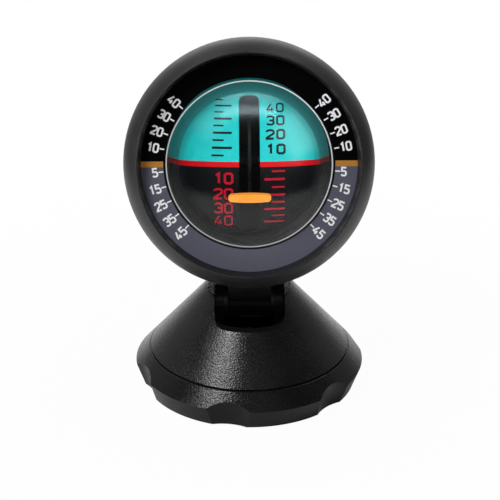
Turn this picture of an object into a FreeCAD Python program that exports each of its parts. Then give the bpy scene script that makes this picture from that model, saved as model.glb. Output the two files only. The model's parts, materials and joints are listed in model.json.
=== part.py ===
import FreeCAD, Part
import math
import os

import Sketcher
from FreeCAD import Placement, Rotation, Vector

# Ball inclinometer for a dashboard, in millimetres. +Z is up, the dial faces -Y and the origin is
# the middle of the underside. Four things move: the cone swivels on its ring, the head tilts on the
# cone, the ball rolls inside its clear capsule, and the pitch pendulum swings inside the ball.
# Sub-parts of the head are drawn in the head's own frame: origin at the centre of the ball, +Y up in
# the dial and +Z out through the dome.

document = FreeCAD.newDocument("inclinometer")
sheet = document.addObject("Spreadsheet::Sheet", "Dimensions")


# ---------------------------------------------------------------------------------------------
# Sizes
# ---------------------------------------------------------------------------------------------
class Size:
    """A number with the sheet expression that yields it, so that whatever uses it stays bound."""

    def __init__(self, value, text):
        self.value = value
        self.text = text

    def __add__(self, other):
        other = as_size(other)
        return Size(self.value + other.value, f"({self.text} + {other.text})")

    def __sub__(self, other):
        other = as_size(other)
        return Size(self.value - other.value, f"({self.text} - {other.text})")

    def __mul__(self, other):
        other = as_size(other)
        return Size(self.value * other.value, f"({self.text} * {other.text})")

    def __truediv__(self, other):
        other = as_size(other)
        return Size(self.value / other.value, f"({self.text} / {other.text})")

    def __radd__(self, other):
        return as_size(other) + self

    def __rsub__(self, other):
        return as_size(other) - self

    def __rmul__(self, other):
        return as_size(other) * self

    def __rtruediv__(self, other):
        return as_size(other) / self

    def __neg__(self):
        return as_size(0) - self


def as_size(number):
    return number if isinstance(number, Size) else Size(float(number), repr(float(number)))


def sine(angle):
    return Size(math.sin(math.radians(angle.value)), f"sin({angle.text} * 1deg)")


def cosine(angle):
    return Size(math.cos(math.radians(angle.value)), f"cos({angle.text} * 1deg)")


def tangent(angle):
    return Size(math.tan(math.radians(angle.value)), f"tan({angle.text} * 1deg)")


def root(size):
    return Size(math.sqrt(size.value), f"sqrt({size.text})")


def dimension(alias, value):
    """Adds one driving dimension, or one angle in degrees, to the sheet."""
    dimension.row += 1
    sheet.set(f"A{dimension.row}", alias.replace("_", " "))
    sheet.set(f"B{dimension.row}", str(value))
    sheet.setAlias(f"B{dimension.row}", alias)
    return Size(float(value), f"Dimensions.{alias}")


dimension.row = 0

# Overall: the outer cone, the lean of the dial and the place of the tilt hinge.
crease_radius = dimension("crease_radius", 33.6)
crease_height = dimension("crease_height", 6.6)
cone_height = dimension("cone_height", 31.0)
cone_top_radius = dimension("cone_top_radius", 12.7)
seam_height = dimension("seam_height", 11.5)
seam_gap = dimension("seam_gap", 0.2)
seam_width = dimension("seam_width", 0.5)
seam_edge_radius = dimension("seam_edge_radius", 0.4)
lean_angle = dimension("lean_angle", 21.5)
hinge_sink = dimension("hinge_sink", 5.0)
hinge_setback = dimension("hinge_setback", 0.9)

# Fits
running_clearance = dimension("running_clearance", 0.05)
screw_clearance = dimension("screw_clearance", 0.05)
moving_gap = dimension("moving_gap", 0.3)

# Base ring, plate and swivel
pad_inset = dimension("pad_inset", 0.7)
pad_thickness = dimension("pad_thickness", 1.2)
plate_inset = dimension("plate_inset", 2.5)
plate_thickness = dimension("plate_thickness", 2.5)
foot_inset = dimension("foot_inset", 2.4)
foot_height = dimension("foot_height", 0.4)
ring_width = dimension("ring_width", 3.8)
hub_radius = dimension("hub_radius", 9.0)
hub_height = dimension("hub_height", 4.5)
washer_thickness = dimension("washer_thickness", 0.7)
scallop_radius = dimension("scallop_radius", 13.5)
scallop_depth = dimension("scallop_depth", 1.4)
scallop_lean = dimension("scallop_lean", 13.0)
scallop_phase = dimension("scallop_phase", 18.5)
swivel_bolt_radius = dimension("swivel_bolt_radius", 2.0)
swivel_head_radius = dimension("swivel_head_radius", 3.6)
swivel_head_height = dimension("swivel_head_height", 2.6)
spring_washer_thickness = dimension("spring_washer_thickness", 0.6)
base_screw_inset = dimension("base_screw_inset", 2.8)
base_screw_length = dimension("base_screw_length", 6.0)
lug_radius = dimension("lug_radius", 3.2)
lug_height = dimension("lug_height", 4.3)
small_screw_radius = dimension("small_screw_radius", 1.25)
small_head_radius = dimension("small_head_radius", 2.3)
small_head_height = dimension("small_head_height", 1.2)

# Turret: cone shell and the yoke inside it
shell_wall = dimension("shell_wall", 2.2)
cone_edge_radius = dimension("cone_edge_radius", 1.2)
skirt_thickness = dimension("skirt_thickness", 1.6)
skirt_depth = dimension("skirt_depth", 1.8)
slot_half_width = dimension("slot_half_width", 10.3)
slot_depth = dimension("slot_depth", 6.4)
slot_corner_radius = dimension("slot_corner_radius", 2.3)
yoke_inset = dimension("yoke_inset", 2.5)
yoke_thickness = dimension("yoke_thickness", 2.4)
tilt_washer_thickness = dimension("tilt_washer_thickness", 1.05)
ear_thickness = dimension("ear_thickness", 2.6)
ear_radius = dimension("ear_radius", 5.4)
ear_foot = dimension("ear_foot", 8.0)
yoke_screw_inset = dimension("yoke_screw_inset", 4.0)
yoke_screw_length = dimension("yoke_screw_length", 8.0)
boss_radius = dimension("boss_radius", 2.8)
tilt_bolt_radius = dimension("tilt_bolt_radius", 2.0)
tilt_head_radius = dimension("tilt_head_radius", 3.6)
tilt_head_height = dimension("tilt_head_height", 1.6)
nut_flat_radius = dimension("nut_flat_radius", 3.5)
nut_thickness = dimension("nut_thickness", 1.8)
tilt_washer_margin = dimension("tilt_washer_margin", 0.6)

# Neck
barrel_radius = dimension("barrel_radius", 5.2)
barrel_half_width = dimension("barrel_half_width", 6.3)
neck_half_width = dimension("neck_half_width", 7.1)
neck_length = dimension("neck_length", 6.4)
neck_front = dimension("neck_front", 8.0)
neck_back = dimension("neck_back", 9.0)
neck_shoulder = dimension("neck_shoulder", 7.0)
neck_screw_front = dimension("neck_screw_front", 2.0)
neck_screw_back = dimension("neck_screw_back", 5.0)
neck_screw_length = dimension("neck_screw_length", 8.3)
neck_boss_radius = dimension("neck_boss_radius", 2.6)
neck_boss_depth = dimension("neck_boss_depth", 5.6)

# Dial, bezel and rear housing; distances along the dial's axis are from the centre of the ball
dial_front = dimension("dial_front", 19.1)
dial_thickness = dimension("dial_thickness", 0.9)
dial_hole_clearance = dimension("dial_hole_clearance", 0.25)
dial_overlap = dimension("dial_overlap", 1.7)
lip_flare = dimension("lip_flare", 0.9)
lip_rise = dimension("lip_rise", 5.0)
lip_width = dimension("lip_width", 0.5)
lip_bead_radius = dimension("lip_bead_radius", 0.3)
bezel_draft = dimension("bezel_draft", 0.3)
bezel_edge_depth = dimension("bezel_edge_depth", 4.6)
bezel_face_radius = dimension("bezel_face_radius", 16.0)
bezel_back = dimension("bezel_back", 9.0)
bezel_step = dimension("bezel_step", 0.4)
rim_clearance = dimension("rim_clearance", 0.1)
rim_front = dimension("rim_front", 15.0)
rim_wall = dimension("rim_wall", 1.5)
housing_shoulder = dimension("housing_shoulder", 1.2)
housing_draft = dimension("housing_draft", 0.6)
housing_taper_front = dimension("housing_taper_front", 4.0)
housing_back_inset = dimension("housing_back_inset", 2.0)
housing_back_clearance = dimension("housing_back_clearance", 0.5)
housing_curve = dimension("housing_curve", 36.0)
housing_wall = dimension("housing_wall", 2.0)
ledge_width = dimension("ledge_width", 4.2)
ledge_front = dimension("ledge_front", 7.6)
ledge_thickness = dimension("ledge_thickness", 2.0)

# Clear capsule
dome_space = dimension("dome_space", 3.4)
dome_wall = dimension("dome_wall", 1.4)
dome_rib_inner = dimension("dome_rib_inner", 49.6)
dome_rib_outer = dimension("dome_rib_outer", 51.7)
dome_rib_rise = dimension("dome_rib_rise", 0.35)
flange_width = dimension("flange_width", 2.2)
flange_clearance = dimension("flange_clearance", 0.3)
flange_thickness = dimension("flange_thickness", 1.8)
gasket_thickness = dimension("gasket_thickness", 0.8)
seal_inset = dimension("seal_inset", 2.6)
seal_width = dimension("seal_width", 1.2)
seal_depth = dimension("seal_depth", 0.9)
cup_space = dimension("cup_space", 0.2)
cup_wall = dimension("cup_wall", 1.6)
cup_back_clearance = dimension("cup_back_clearance", 1.0)
cup_corner_radius = dimension("cup_corner_radius", 12.0)
cup_boss_radius = dimension("cup_boss_radius", 4.5)
cup_boss_length = dimension("cup_boss_length", 3.9)
plug_radius = dimension("plug_radius", 2.0)
plug_offset = dimension("plug_offset", 10.0)
plug_head_radius = dimension("plug_head_radius", 3.0)
plug_head_height = dimension("plug_head_height", 0.9)
spacer_wall = dimension("spacer_wall", 2.0)

# The horizon and the pitch marker are read from a little above the dial's axis, so they sit this
# much above the axes that they turn about.
sight_rise = dimension("sight_rise", 0.65)

# Roll ball
ball_radius = dimension("ball_radius", 25.8)
ball_wall = dimension("ball_wall", 1.1)
cap_inset = dimension("cap_inset", 5.4)
skirt_inset = dimension("skirt_inset", 2.2)
skirt_bend = dimension("skirt_bend", 3.0)
ball_back = dimension("ball_back", 11.0)
band_half_height = dimension("band_half_height", 0.78)
band_sink = dimension("band_sink", 0.35)
gap_half_width = dimension("gap_half_width", 3.0)
gap_margin = dimension("gap_margin", 0.7)
gap_corner_radius = dimension("gap_corner_radius", 1.9)
frame_thickness = dimension("frame_thickness", 1.5)
frame_hub_wall = dimension("frame_hub_wall", 2.2)
cheek_gap = dimension("cheek_gap", 0.5)
cheek_thickness = dimension("cheek_thickness", 1.2)
cheek_clearance = dimension("cheek_clearance", 0.2)
ballast_thickness = dimension("ballast_thickness", 7.3)
ballast_half_angle = dimension("ballast_half_angle", 50.0)
ballast_depth = dimension("ballast_depth", 5.5)
bush_radius = dimension("bush_radius", 2.6)
bush_length = dimension("bush_length", 6.0)
roll_axle_radius = dimension("roll_axle_radius", 1.0)
roll_head_radius = dimension("roll_head_radius", 2.0)
roll_head_height = dimension("roll_head_height", 1.3)

# Pitch pendulum
pitch_axle_radius = dimension("pitch_axle_radius", 0.75)
pendulum_thickness = dimension("pendulum_thickness", 0.9)
pendulum_inset = dimension("pendulum_inset", 4.3)
pendulum_lower_angle = dimension("pendulum_lower_angle", 8.0)
pendulum_upper_angle = dimension("pendulum_upper_angle", 58.0)
window_inner_radius = dimension("window_inner_radius", 7.0)
window_rim = dimension("window_rim", 3.0)
window_margin = dimension("window_margin", 6.0)
pendulum_hub_radius = dimension("pendulum_hub_radius", 2.6)
marker_gap = dimension("marker_gap", 0.6)
marker_thickness = dimension("marker_thickness", 1.2)
marker_half_width = dimension("marker_half_width", 6.15)
marker_end_height = dimension("marker_end_height", 2.2)
marker_bulge = dimension("marker_bulge", 0.25)
tab_half_height = dimension("tab_half_height", 0.75)
gusset_height = dimension("gusset_height", 3.4)
tail_half_angle = dimension("tail_half_angle", 12.0)
weight_inner_radius = dimension("weight_inner_radius", 4.2)
weight_clearance = dimension("weight_clearance", 0.6)
weight_half_angle = dimension("weight_half_angle", 27.0)
weight_half_width = dimension("weight_half_width", 2.8)
weight_lean = dimension("weight_lean", 28.9)
rivet_radius = dimension("rivet_radius", 0.8)
rivet_distance = dimension("rivet_distance", 7.4)

document.recompute()

# What follows from those sizes: the base outwards in, the cone down from its top, the head from the
# ball outwards, and the depths along the dial's axis.
foot_radius = crease_radius - foot_inset
plate_radius = foot_radius - plate_inset
pad_radius = plate_radius - pad_inset
ring_inner_radius = foot_radius - ring_width
base_screw_circle = ring_inner_radius - base_screw_inset
skirt_outer_radius = ring_inner_radius - moving_gap
skirt_inner_radius = skirt_outer_radius - skirt_thickness
yoke_radius = skirt_inner_radius - yoke_inset
yoke_screw_circle = yoke_radius - yoke_screw_inset
hinge_height = cone_height - hinge_sink
slot_floor_height = cone_height - slot_depth
ear_inner = barrel_half_width + running_clearance + tilt_washer_thickness
tilt_washer_radius = ear_radius - tilt_washer_margin

dome_inner_radius = ball_radius + dome_space
dome_outer_radius = dome_inner_radius + dome_wall
flange_radius = dome_outer_radius + flange_width
rim_inner_radius = flange_radius + flange_clearance
rim_radius = rim_inner_radius + rim_wall
housing_shoulder_radius = rim_radius + housing_shoulder
housing_taper_radius = housing_shoulder_radius - housing_draft
bezel_back_radius = housing_shoulder_radius + bezel_step
bezel_radius = bezel_back_radius + bezel_draft
dial_back = dial_front - dial_thickness
dial_radius = rim_inner_radius - rim_clearance
dial_window_radius = dial_radius - dial_overlap
dial_hole_radius = root(dome_outer_radius * dome_outer_radius - dial_back * dial_back) + dial_hole_clearance
lip_radius = dial_window_radius + lip_flare
ledge_radius = flange_radius - ledge_width
seal_radius = flange_radius - seal_inset
cup_inner_radius = ball_radius + cup_space
housing_back_radius = cup_inner_radius - cup_corner_radius - housing_back_inset
hinge_drop = housing_taper_radius + neck_length
neck_boss_level = housing_taper_radius - neck_boss_depth

cap_radius = ball_radius - cap_inset
skirt_radius = ball_radius - skirt_inset
gap_half_length = cap_radius - gap_margin
cheek_inner = weight_half_width + cheek_gap
pendulum_radius = ball_radius - pendulum_inset
window_outer_radius = pendulum_radius - window_rim
weight_outer_radius = ball_back - weight_clearance
bush_front = ball_back
bush_back = bush_front + bush_length
cup_back = bush_back + cup_back_clearance
housing_back = cup_back + cup_wall + cup_boss_length + housing_back_clearance + housing_wall


# ---------------------------------------------------------------------------------------------
# Drawing helpers
# ---------------------------------------------------------------------------------------------
sub_parts = []


def new_body(label):
    """A sub-part. Its label names its file."""
    body = document.addObject("PartDesign::Body", label)
    body.Label = label
    body.AllowCompound = True
    sub_parts.append(body)
    return body


def origin_feature(body, role):
    return next(item for item in body.Origin.OriginFeatures if item.Role == role)


def arc_between(start, end, radius):
    """The short arc from start to end. A positive radius turns left, a negative one turns right."""
    middle = (start + end) / 2
    half = (end - start) / 2
    left = Vector(-half.y, half.x, 0).normalize()
    reach = math.sqrt(max(radius * radius - half.Length * half.Length, 0))
    centre = middle + left * (reach if radius > 0 else -reach)
    first, last = (start, end) if radius > 0 else (end, start)
    first_angle = math.atan2(first.y - centre.y, first.x - centre.x)
    last_angle = math.atan2(last.y - centre.y, last.x - centre.x)
    return Part.ArcOfCircle(Part.Circle(centre, Vector(0, 0, 1), abs(radius)), first_angle, last_angle)


def new_sketch(body, name, plane, level=None):
    """An empty sketch on one of the body's own planes, or level above it along its normal."""
    sketch = body.newObject("Sketcher::SketchObject", name)
    sketch.AttachmentSupport = [(origin_feature(body, plane), "")]
    sketch.MapMode = "FlatFace"
    if level is not None:
        sketch.AttachmentOffset = Placement(Vector(0, 0, level.value), Rotation())
        sketch.setExpression("AttachmentOffset.Base.z", level.text)
    return sketch


def fix_point(sketch, geometry, end, x, y):
    """Ties one end of a piece of geometry to its two coordinates."""
    for kind, size in (("DistanceX", as_size(x)), ("DistanceY", as_size(y))):
        number = sketch.addConstraint(Sketcher.Constraint(kind, geometry, end, size.value))
        sketch.setExpression(f"Constraints[{number}]", size.text)


def draw_outline(sketch, corners):
    """A closed outline. A corner is (x, y), or (x, y, radius) where an arc leads on from it."""
    points = [Vector(as_size(corner[0]).value, as_size(corner[1]).value, 0) for corner in corners]
    ends = []
    for number, corner in enumerate(corners):
        start = points[number]
        end = points[(number + 1) % len(points)]
        if len(corner) == 2:
            geometry = sketch.addGeometry(Part.LineSegment(start, end), False)
            ends.append((geometry, 1, 2))
            continue
        radius = as_size(corner[2])
        geometry = sketch.addGeometry(arc_between(start, end, radius.value), False)
        size = radius if radius.value > 0 else -radius
        number = sketch.addConstraint(Sketcher.Constraint("Radius", geometry, size.value))
        sketch.setExpression(f"Constraints[{number}]", size.text)
        ends.append((geometry, 1, 2) if radius.value > 0 else (geometry, 2, 1))
    for number, (geometry, first, last) in enumerate(ends):
        following, following_first, _ = ends[(number + 1) % len(ends)]
        sketch.addConstraint(Sketcher.Constraint("Coincident", geometry, last, following, following_first))
        fix_point(sketch, geometry, first, corners[number][0], corners[number][1])


def draw_circle(sketch, x, y, radius):
    x, y, radius = as_size(x), as_size(y), as_size(radius)
    circle = Part.Circle(Vector(x.value, y.value, 0), Vector(0, 0, 1), radius.value)
    geometry = sketch.addGeometry(circle, False)
    number = sketch.addConstraint(Sketcher.Constraint("Radius", geometry, radius.value))
    sketch.setExpression(f"Constraints[{number}]", radius.text)
    fix_point(sketch, geometry, 3, x, y)


def check_change(body, feature, before, grows):
    """Stops if a feature didn't add or take away material as it should."""
    document.recompute()
    after = body.Shape.Volume
    if (after > before) != grows or abs(after - before) < 1e-6:
        raise RuntimeError(f"{body.Label}: {feature.Name} changed the volume from {before} to {after}")


def volume_of(body):
    return body.Shape.Volume if body.Tip else 0.0


def turned(body, name, corners, cut=False, axis="V_Axis", plane="XZ_Plane"):
    """Turns an outline about an axis of its sketch, to add material or to cut it away."""
    before = volume_of(body)
    sketch = new_sketch(body, name + "_outline", plane)
    draw_outline(sketch, corners)
    feature = body.newObject("PartDesign::Groove" if cut else "PartDesign::Revolution", name)
    feature.Profile = sketch
    feature.ReferenceAxis = (sketch, [axis])
    feature.Angle = 360
    check_change(body, feature, before, not cut)
    return feature


def turned_aside(body, name, corners, foot, top, cut=False):
    """Turns an outline in the XZ plane about the line from foot to top."""
    before = volume_of(body)
    sketch = new_sketch(body, name + "_outline", "XZ_Plane")
    draw_outline(sketch, corners)
    start = Vector(as_size(foot[0]).value, as_size(foot[1]).value, 0)
    end = Vector(as_size(top[0]).value, as_size(top[1]).value, 0)
    line = sketch.addGeometry(Part.LineSegment(start, end), True)
    fix_point(sketch, line, 1, *foot)
    fix_point(sketch, line, 2, *top)
    feature = body.newObject("PartDesign::Groove" if cut else "PartDesign::Revolution", name)
    feature.Profile = sketch
    feature.ReferenceAxis = (sketch, ["Axis0"])
    feature.Angle = 360
    check_change(body, feature, before, not cut)
    return feature


def extruded(body, name, draw, plane, level, length, cut=False):
    """Extrudes what draw puts in a sketch, from level along the plane's normal."""
    before = volume_of(body)
    sketch = new_sketch(body, name + "_outline", plane, as_size(level))
    draw(sketch)
    feature = body.newObject("PartDesign::Pocket" if cut else "PartDesign::Pad", name)
    feature.Profile = sketch
    feature.Length = as_size(length).value
    feature.setExpression("Length", as_size(length).text)
    feature.Reversed = cut
    check_change(body, feature, before, not cut)
    return feature


def extruded_outline(body, name, corners, plane, level, length, cut=False):
    return extruded(body, name, lambda sketch: draw_outline(sketch, corners), plane, level, length, cut)


def extruded_circle(body, name, x, y, radius, plane, level, length, cut=False):
    return extruded(body, name, lambda sketch: draw_circle(sketch, x, y, radius), plane, level, length, cut)


def repeated(body, name, feature, count):
    """Repeats a feature evenly round the body's Z axis."""
    pattern = body.newObject("PartDesign::PolarPattern", name)
    pattern.Originals = [feature]
    pattern.Axis = (origin_feature(body, "Z_Axis"), [""])
    pattern.Angle = 360
    pattern.Occurrences = count
    body.Tip = pattern
    document.recompute()
    return pattern


def rectangle(left, bottom, right, top):
    return [(left, bottom), (right, bottom), (right, top), (left, top)]


def polar(radius, angle, turn=0):
    """The point at a radius and an angle in degrees, in a frame turned by turn."""
    angle = as_size(angle) + turn
    return radius * cosine(angle), radius * sine(angle)


def sector(inner, outer, first, last):
    """The outline of a ring segment between two angles."""
    return [
        polar(inner, first),
        (*polar(outer, first), outer),
        polar(outer, last),
        (*polar(inner, last), -inner),
    ]


def screw_outline(x, seat, radius, head_radius, head_height, length, direction=1):
    """Half of a countersunk screw whose head lies flush with seat and which points along direction."""
    recess = head_height / 2
    return [
        (x, seat + direction * recess),
        (x + recess, seat),
        (x + head_radius, seat),
        (x + radius, seat + direction * head_height),
        (x + radius, seat + direction * length),
        (x, seat + direction * length),
    ]


def countersink_outline(x, seat, radius, head_radius, head_height, length):
    """The hole for such a screw that points up, a little longer than its shank."""
    return [
        (x, seat),
        (x + head_radius, seat),
        (x + radius, seat + head_height),
        (x + radius, seat + length),
        (x, seat + length),
    ]


# ---------------------------------------------------------------------------------------------
# Frames of the moving bodies
# ---------------------------------------------------------------------------------------------
ball_centre_y = hinge_drop * sine(lean_angle) - hinge_setback * cosine(lean_angle)
ball_centre_z = hinge_height + hinge_drop * cosine(lean_angle) + hinge_setback * sine(lean_angle)


def place(body, axis, angle, y=None, z=None):
    """Places a body by a turn about axis and a shift in the plane of symmetry."""
    body.Placement = Placement(Vector(0, 0, 0), Rotation(axis, angle.value))
    body.setExpression("Placement.Rotation.Angle", angle.text)
    if y is not None:
        body.setExpression("Placement.Base.y", y.text)
        body.setExpression("Placement.Base.z", z.text)
    document.recompute()


def place_on_head(body):
    place(body, Vector(1, 0, 0), 90 - lean_angle, ball_centre_y, ball_centre_z)


def place_level(body):
    """The pendulum hangs level in the ball, whatever the lean of the dial."""
    place(body, Vector(1, 0, 0), as_size(90), ball_centre_y, ball_centre_z)


# ---------------------------------------------------------------------------------------------
# Base: ring, plate, swivel bolt and pad
# ---------------------------------------------------------------------------------------------
plate_top = pad_thickness + plate_thickness
hub_top = plate_top + hub_height
yoke_bottom = hub_top + washer_thickness
yoke_top = yoke_bottom + yoke_thickness
small_hole_radius = small_screw_radius + screw_clearance
cone_run = (crease_radius - cone_top_radius) / (cone_height - crease_height)
slope_sine = 1 / root(1 + cone_run * cone_run)
slope_cosine = cone_run * slope_sine


def cone_radius(height):
    """Radius of the outer cone at a height."""
    return crease_radius - (height - crease_height) * cone_run


def rounded_brow(radius, height, edge_radius):
    """Outline of the rounded edge between the cone's slope and a level face that meets it there."""
    length = edge_radius * (1 - slope_cosine) / slope_sine
    low_corner = (radius + length * slope_cosine, height - length * slope_sine, edge_radius)
    return [low_corner, (radius - length, height)]


def adhesive_pad():
    body = new_body("adhesive_pad")
    turned(body, "disc", rectangle(0, 0, pad_radius, pad_thickness))


def base_plate():
    body = new_body("base_plate")
    bore = swivel_bolt_radius + screw_clearance
    profile = [
        (bore, pad_thickness),
        (plate_radius, pad_thickness),
        (plate_radius, plate_top),
        (hub_radius, plate_top),
        (hub_radius, hub_top),
        (bore, hub_top),
    ]
    turned(body, "plate", profile)
    hole = countersink_outline(
        base_screw_circle,
        pad_thickness,
        small_hole_radius,
        small_head_radius,
        small_head_height,
        plate_thickness,
    )
    foot = (base_screw_circle, pad_thickness)
    top = (base_screw_circle, plate_top)
    repeated(body, "holes", turned_aside(body, "hole", hole, foot, top, cut=True), 3)
    place(body, Vector(0, 0, 1), scallop_phase)


def scallop(body):
    """A leaning round cut that leaves a finger grip in the ring's side."""
    across = cosine(scallop_lean) * scallop_radius
    along = sine(scallop_lean) * scallop_radius
    lean_run = tangent(scallop_lean)
    low = -crease_height
    high = 2 * seam_height
    foot_x = foot_radius - scallop_depth + scallop_radius / cosine(scallop_lean)
    low_x = foot_x + (low - foot_height) * lean_run
    high_x = foot_x + (high - foot_height) * lean_run
    corners = [
        (low_x - across, low + along),
        (low_x, low),
        (high_x, high),
        (high_x - across, high + along),
    ]
    return turned_aside(body, "scallop", corners, (low_x, low), (high_x, high), cut=True)


def grip_ring():
    body = new_body("grip_ring")
    ring_top = seam_height - seam_width / 2
    recess_radius = plate_radius + seam_gap
    profile = [
        (recess_radius, foot_height),
        (foot_radius, foot_height),
        (crease_radius, crease_height),
        *rounded_brow(cone_radius(ring_top), ring_top, seam_edge_radius),
        (ring_inner_radius, ring_top),
        (ring_inner_radius, plate_top),
        (recess_radius, plate_top),
    ]
    turned(body, "ring", profile)
    repeated(body, "scallops", scallop(body), 6)
    lug = extruded_circle(body, "lug", base_screw_circle, 0, lug_radius, "XY_Plane", plate_top, lug_height)
    repeated(body, "lugs", lug, 3)
    depth = base_screw_length - plate_thickness + screw_clearance
    hole = extruded_circle(
        body, "hole", base_screw_circle, 0, small_hole_radius, "XY_Plane", plate_top, depth, cut=True
    )
    repeated(body, "lug_holes", hole, 3)
    place(body, Vector(0, 0, 1), scallop_phase)


def base_screws():
    body = new_body("base_screws")
    outline = screw_outline(
        base_screw_circle,
        pad_thickness,
        small_screw_radius,
        small_head_radius,
        small_head_height,
        base_screw_length,
    )
    foot = (base_screw_circle, pad_thickness)
    top = (base_screw_circle, plate_top)
    repeated(body, "screws", turned_aside(body, "screw", outline, foot, top), 3)
    place(body, Vector(0, 0, 1), scallop_phase)


def friction_washer():
    body = new_body("friction_washer")
    inner = swivel_bolt_radius + moving_gap
    turned(body, "washer", rectangle(inner, hub_top, hub_radius - moving_gap, yoke_bottom))


def spring_washer():
    body = new_body("spring_washer")
    inner = swivel_bolt_radius + running_clearance
    turned(body, "washer", rectangle(inner, yoke_top, swivel_head_radius, yoke_top + spring_washer_thickness))


def swivel_bolt():
    body = new_body("swivel_bolt")
    head_bottom = yoke_top + spring_washer_thickness
    head_top = head_bottom + swivel_head_height
    socket = swivel_bolt_radius / 2
    profile = [
        (0, pad_thickness + seam_gap),
        (swivel_bolt_radius, pad_thickness + seam_gap),
        (swivel_bolt_radius, head_bottom),
        (swivel_head_radius, head_bottom),
        (swivel_head_radius, head_top),
        (socket, head_top),
        (socket, head_top - socket),
        (0, head_top - socket),
    ]
    turned(body, "bolt", profile)


# ---------------------------------------------------------------------------------------------
# Turret: cone shell, yoke and the tilt hinge's hardware
# ---------------------------------------------------------------------------------------------
def cone_shell():
    body = new_body("cone_shell")
    bottom = seam_height + seam_width / 2
    wall_run = shell_wall / slope_sine
    ceiling = cone_height - shell_wall
    skirt_root = crease_height + (crease_radius - wall_run - skirt_inner_radius) / cone_run
    profile = [
        (skirt_inner_radius, bottom - skirt_depth),
        (skirt_outer_radius, bottom - skirt_depth),
        (skirt_outer_radius, bottom),
        (cone_radius(bottom), bottom),
        *rounded_brow(cone_top_radius, cone_height, cone_edge_radius),
        (0, cone_height),
        (0, ceiling),
        (cone_radius(ceiling) - wall_run, ceiling),
        (skirt_inner_radius, skirt_root),
    ]
    turned(body, "shell", profile)
    boss_reach = yoke_screw_circle + boss_radius
    boss_top = crease_height + (crease_radius - boss_reach) / cone_run - seam_gap
    boss = extruded_circle(
        body, "boss", yoke_screw_circle, 0, boss_radius, "XY_Plane", yoke_top, boss_top - yoke_top
    )
    repeated(body, "bosses", boss, 3)
    depth = yoke_screw_length - yoke_thickness + screw_clearance
    hole = extruded_circle(
        body, "hole", yoke_screw_circle, 0, small_hole_radius, "XY_Plane", yoke_top, depth, cut=True
    )
    repeated(body, "boss_holes", hole, 3)
    corner = slot_corner_radius
    slot = [
        (-slot_half_width, slot_floor_height + corner, corner),
        (-slot_half_width + corner, slot_floor_height),
        (slot_half_width - corner, slot_floor_height, corner),
        (slot_half_width, slot_floor_height + corner),
        (slot_half_width, cone_height + corner),
        (-slot_half_width, cone_height + corner),
    ]
    extruded_outline(body, "slot", slot, "XZ_Plane", -crease_radius, 2 * crease_radius, cut=True)


def turret_yoke():
    body = new_body("turret_yoke")
    bore = swivel_bolt_radius + running_clearance
    turned(body, "floor", rectangle(bore, yoke_bottom, yoke_radius, yoke_top))
    hole = countersink_outline(
        yoke_screw_circle,
        yoke_bottom,
        small_hole_radius,
        small_head_radius,
        small_head_height,
        yoke_thickness,
    )
    foot = (yoke_screw_circle, yoke_bottom)
    top = (yoke_screw_circle, yoke_top)
    repeated(body, "holes", turned_aside(body, "hole", hole, foot, top, cut=True), 3)
    root = yoke_top - yoke_thickness / 2
    ear = [
        (-ear_foot, root),
        (ear_foot, root),
        (ear_radius, hinge_height, ear_radius),
        (0, hinge_height + ear_radius, ear_radius),
        (-ear_radius, hinge_height),
    ]
    outer_face = ear_inner + ear_thickness
    extruded_outline(body, "right_ear", ear, "YZ_Plane", ear_inner, ear_thickness)
    extruded_outline(body, "left_ear", ear, "YZ_Plane", -outer_face, ear_thickness)
    hole_radius = tilt_bolt_radius + screw_clearance
    extruded_circle(
        body, "bolt_hole", 0, hinge_height, hole_radius, "YZ_Plane", -outer_face, 2 * outer_face, cut=True
    )
    countersink = [
        (outer_face - tilt_head_height, hinge_height),
        (outer_face, hinge_height),
        (outer_face, hinge_height + tilt_head_radius + screw_clearance),
        (outer_face - tilt_head_height, hinge_height + hole_radius),
    ]
    turned_aside(
        body,
        "countersink",
        countersink,
        (outer_face - tilt_head_height, hinge_height),
        (outer_face, hinge_height),
        cut=True,
    )
    pocket = hexagon(nut_flat_radius + screw_clearance)
    extruded_outline(body, "nut_pocket", pocket, "YZ_Plane", -outer_face, nut_thickness, cut=True)


def hexagon(flat_radius):
    """A nut's outline about the tilt hinge, in the YZ plane."""
    corner_radius = flat_radius / cosine(as_size(30))
    points = [polar(corner_radius, 60 * number) for number in range(6)]
    return [(y, hinge_height + z) for y, z in points]


def yoke_screws():
    body = new_body("yoke_screws")
    outline = screw_outline(
        yoke_screw_circle,
        yoke_bottom,
        small_screw_radius,
        small_head_radius,
        small_head_height,
        yoke_screw_length,
    )
    foot = (yoke_screw_circle, yoke_bottom)
    top = (yoke_screw_circle, yoke_top)
    repeated(body, "screws", turned_aside(body, "screw", outline, foot, top), 3)


def tilt_bolt():
    body = new_body("tilt_bolt")
    outer_face = ear_inner + ear_thickness
    recess = tilt_head_height / 2
    profile = [
        (seam_gap - outer_face, hinge_height),
        (outer_face - recess, hinge_height),
        (outer_face, hinge_height + recess),
        (outer_face, hinge_height + tilt_head_radius),
        (outer_face - tilt_head_height, hinge_height + tilt_bolt_radius),
        (seam_gap - outer_face, hinge_height + tilt_bolt_radius),
    ]
    turned_aside(body, "bolt", profile, (-outer_face, hinge_height), (outer_face, hinge_height))


def tilt_nut():
    body = new_body("tilt_nut")
    outer_face = ear_inner + ear_thickness
    extruded_outline(body, "nut", hexagon(nut_flat_radius), "YZ_Plane", -outer_face, nut_thickness)
    bore = tilt_bolt_radius + screw_clearance
    extruded_circle(body, "bore", 0, hinge_height, bore, "YZ_Plane", -outer_face, nut_thickness, cut=True)


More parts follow.
